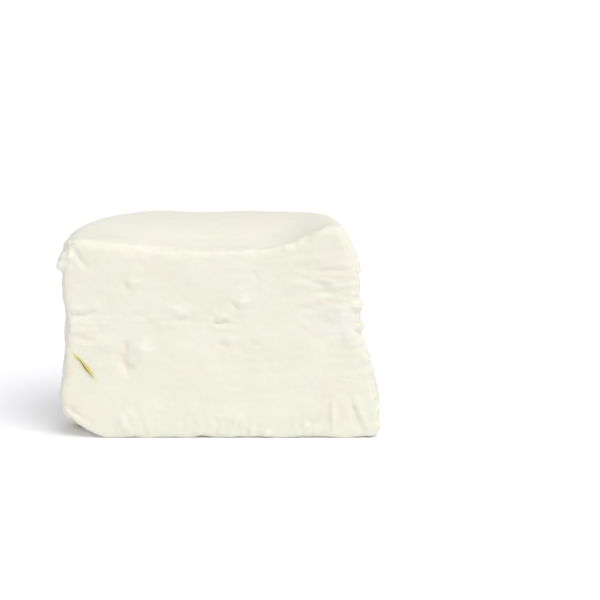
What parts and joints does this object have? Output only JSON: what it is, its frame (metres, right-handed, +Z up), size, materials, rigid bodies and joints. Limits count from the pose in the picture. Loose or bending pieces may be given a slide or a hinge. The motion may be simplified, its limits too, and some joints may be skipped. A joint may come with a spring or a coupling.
{
  "type": "goat cheese half",
  "caption": "Half of a round fresh soft white cheese, as cut: flat front face, round back wall spreading into a foot, rounded top edge, flat base",
  "frame": {"origin": "on the table, under the middle of the half's width and depth", "axes": "+X to the right along the cut face, +Y from the cut face into the cheese, +Z up"},
  "size_m": [0.1014, 0.05, 0.0665],
  "materials": {
    "curd": "matt, slightly moist, translucent white curd"
  },
  "bodies": {
    "root": {"goat_cheese": "curd"}
  },
  "joints": []
}
